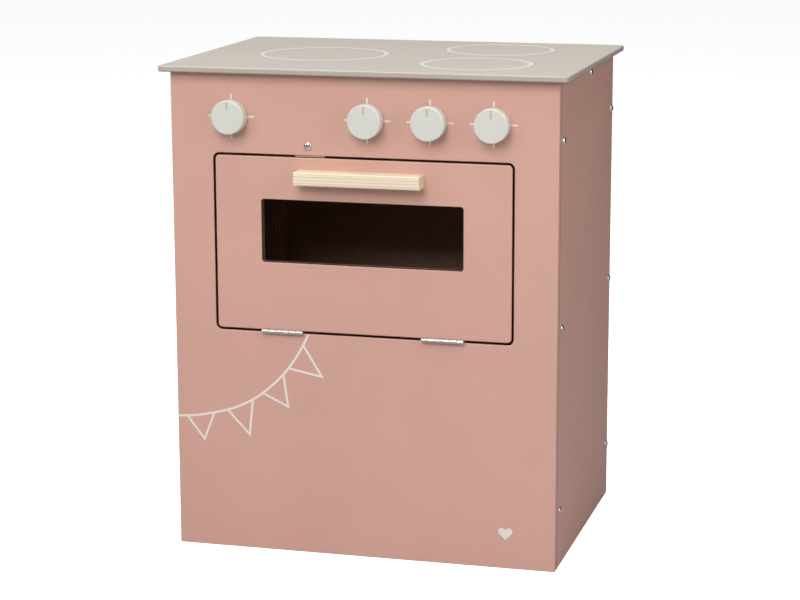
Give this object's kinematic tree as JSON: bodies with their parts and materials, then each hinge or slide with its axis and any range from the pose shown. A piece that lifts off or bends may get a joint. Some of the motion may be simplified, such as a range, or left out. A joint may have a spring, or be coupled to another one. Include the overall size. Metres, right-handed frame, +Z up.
{
  "type": "toy kitchen",
  "caption": "Free-standing wooden play cooker with an overhanging hob top, turning control knobs and a drop-down oven door with a window opening and a bar handle.",
  "frame": {"origin": "centre of the footprint of the whole object, on the surface it stands on", "axes": "+Z up, the longest extent; +Y from the front with the knobs and door to the back, the shortest extent; +X to the right of someone facing the front"},
  "size_m": [0.42, 0.3228, 0.5015],
  "materials": {
    "painted_board": "matt sprayed paint on MDF",
    "grey_board": "matt sprayed paint on MDF",
    "knob_paint": "satin paint on turned wood",
    "handle_pine": "clear matt lacquer on pine",
    "pine": "planed pine",
    "catch_wood": "planed beech",
    "back_board": "smooth hardboard",
    "raw_board": "raw MDF",
    "hinge_steel": "bright zinc plated",
    "screw_zinc": "bright zinc plated",
    "washer": "natural nylon",
    "magnet": "nickel plated disc magnet"
  },
  "bodies": {
    "cabinet": {"back_panel": "back_board", "back_panel_screws": "screw_zinc", "bottom_panel": "raw_board", "bottom_panel_screws": "screw_zinc", "catch_magnet": "magnet", "catch_screw": "screw_zinc", "door_catch_block": "catch_wood", "fixed_leaf_screws": "screw_zinc", "floor_cleat_screws": "screw_zinc", "front_left_batten": "pine", "front_panel": "painted_board", "front_panel_screws": "screw_zinc", "front_right_batten": "pine", "left_floor_cleat": "pine", "left_hinge_fixed_leaf": "hinge_steel", "left_hinge_pin": "hinge_steel", "left_side_panel": "painted_board", "left_side_screws": "screw_zinc", "left_top_cleat": "pine", "oven_floor": "raw_board", "oven_floor_screws": "screw_zinc", "rear_left_batten": "pine", "rear_right_batten": "pine", "right_floor_cleat": "pine", "right_hinge_fixed_leaf": "hinge_steel", "right_hinge_pin": "hinge_steel", "right_side_panel": "painted_board", "right_side_screws": "screw_zinc", "right_top_cleat": "pine", "worktop": "grey_board", "worktop_screws": "screw_zinc"},
    "door": {"door_panel": "painted_board", "door_handle": "handle_pine", "handle_screws": "screw_zinc", "left_hinge_door_leaf": "hinge_steel", "right_hinge_door_leaf": "hinge_steel", "door_leaf_screws": "screw_zinc", "strike_plate": "screw_zinc", "strike_screw": "screw_zinc"},
    "knob_1": {"knob_1": "knob_paint", "knob_1_washers": "washer", "knob_1_screw": "screw_zinc"},
    "knob_2": {"knob_2": "knob_paint", "knob_2_washers": "washer", "knob_2_screw": "screw_zinc"},
    "knob_3": {"knob_3": "knob_paint", "knob_3_washers": "washer", "knob_3_screw": "screw_zinc"},
    "knob_4": {"knob_4": "knob_paint", "knob_4_washers": "washer", "knob_4_screw": "screw_zinc"}
  },
  "joints": [
    {"name": "door_hinge", "type": "hinge", "parent": "cabinet", "child": "door", "pos_m": [0, -0.14472, 0.2326], "axis": [1, 0, 0], "range_deg": [0, 174]},
    {"name": "knob_1_turn", "type": "hinge", "parent": "cabinet", "child": "knob_1", "pos_m": [-0.1357, -0.14238, 0.4515], "axis": [0, 1, 0], "continuous": true},
    {"name": "knob_2_turn", "type": "hinge", "parent": "cabinet", "child": "knob_2", "pos_m": [0.0061, -0.14238, 0.4515], "axis": [0, 1, 0], "continuous": true},
    {"name": "knob_3_turn", "type": "hinge", "parent": "cabinet", "child": "knob_3", "pos_m": [0.0706, -0.14238, 0.4515], "axis": [0, 1, 0], "continuous": true},
    {"name": "knob_4_turn", "type": "hinge", "parent": "cabinet", "child": "knob_4", "pos_m": [0.1346, -0.14238, 0.4515], "axis": [0, 1, 0], "continuous": true}
  ]
}
